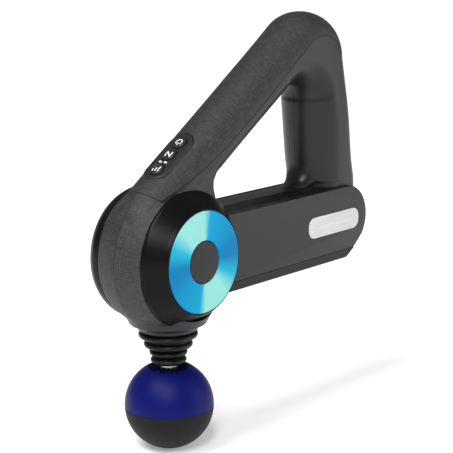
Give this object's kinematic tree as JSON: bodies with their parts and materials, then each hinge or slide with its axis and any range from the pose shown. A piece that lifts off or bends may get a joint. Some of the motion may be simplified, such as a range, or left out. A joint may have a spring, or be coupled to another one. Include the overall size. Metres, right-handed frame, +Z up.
{
  "type": "massage gun",
  "caption": "Handheld percussive massager with a round motor drum, a triangular loop handle, a battery bar and a ball head on a driven rod.",
  "frame": {"origin": "bottom centre of the bounding box, level with the ball's lowest point", "axes": "+Z up along the percussion rod away from the ball, +X along the battery bar away from the drum, +Y along the motor axis to the rear side"},
  "size_m": [0.2042, 0.0556, 0.2362],
  "materials": {
    "shell": "satin moulded dark grey",
    "cover": "near-black satin",
    "texture": "charcoal with a fine cross-hatched moulded texture",
    "keel": "dark slate satin",
    "accent": "cyan anodised, spun radial sheen",
    "hub": "matte dark grey",
    "silver": "brushed silver",
    "rubber": "matte black rubber",
    "blue": "deep blue matte foam rubber",
    "steel": "machined steel",
    "bronze": "sintered bronze",
    "copper": "wound stator",
    "board": "green circuit board",
    "cell": "shrink-wrapped cell",
    "light": "clear-white light guide"
  },
  "bodies": {
    "housing": {"front_shell": "shell", "rear_shell": "shell", "front_side_panel": "shell", "rear_side_panel": "shell", "front_drum_cover": "cover", "rear_drum_cover": "cover", "control_panel": "cover", "front_drum_band": "texture", "rear_drum_band": "texture", "grip_cover": "texture", "battery_cover": "keel", "front_accent_ring": "accent", "rear_accent_ring": "accent", "front_hub_cap": "hub", "rear_hub_cap": "hub", "battery_holder": "hub", "name_plate": "silver", "boot": "rubber", "charge_socket": "rubber", "guide_block": "steel", "motor_base": "steel", "front_motor_bearing": "steel", "rear_motor_bearing": "steel", "battery_cover_screw_1": "steel", "battery_cover_screw_2": "steel", "battery_cover_screw_3": "steel", "battery_cover_screw_4": "steel", "motor_screw_1": "steel", "motor_screw_2": "steel", "motor_screw_3": "steel", "upper_bushing": "bronze", "lower_bushing": "bronze", "stator": "copper", "button_board": "board", "main_board": "board", "lower_battery_cell": "cell", "upper_battery_cell": "cell", "status_lights": "light"},
    "crank": {"crank_wheel": "steel", "crank_pin": "steel", "crank_roller": "steel", "rotor_can": "steel", "motor_shaft": "steel"},
    "rod": {"percussion_rod": "steel", "rod_o_ring": "rubber", "yoke": "steel"},
    "ball_head": {"ball_upper": "blue", "ball_lower": "rubber", "ball_socket": "hub"},
    "power_button": {"power_button": "hub"},
    "mode_button": {"mode_button": "hub"},
    "level_button": {"level_button": "hub"}
  },
  "joints": [
    {"name": "crank_spin", "type": "hinge", "parent": "housing", "child": "crank", "pos_m": [-0.06065, 0, 0.1102], "axis": [0, 1, 0], "range_deg": [-90, 90]},
    {"name": "percussion", "type": "slide", "parent": "housing", "child": "rod", "axis": [0, 0, 1], "range_m": [-0.006, 0.006], "deforming": ["boot"]},
    {"name": "ball_pull_off", "type": "slide", "parent": "rod", "child": "ball_head", "axis": [0, 0, -1], "range_m": [0, 0.03]},
    {"name": "power_press", "type": "slide", "parent": "housing", "child": "power_button", "axis": [0.5519, 0, -0.8339], "range_m": [0, 0.0008], "stiffness_N_per_m": 800},
    {"name": "mode_press", "type": "slide", "parent": "housing", "child": "mode_button", "axis": [0.5519, 0, -0.8339], "range_m": [0, 0.0008], "stiffness_N_per_m": 800},
    {"name": "level_press", "type": "slide", "parent": "housing", "child": "level_button", "axis": [0.5519, 0, -0.8339], "range_m": [0, 0.0008], "stiffness_N_per_m": 800}
  ],
  "couplings": [
    {"joint": "crank_spin", "follows": "percussion", "rad_per_m": 261.79}
  ]
}
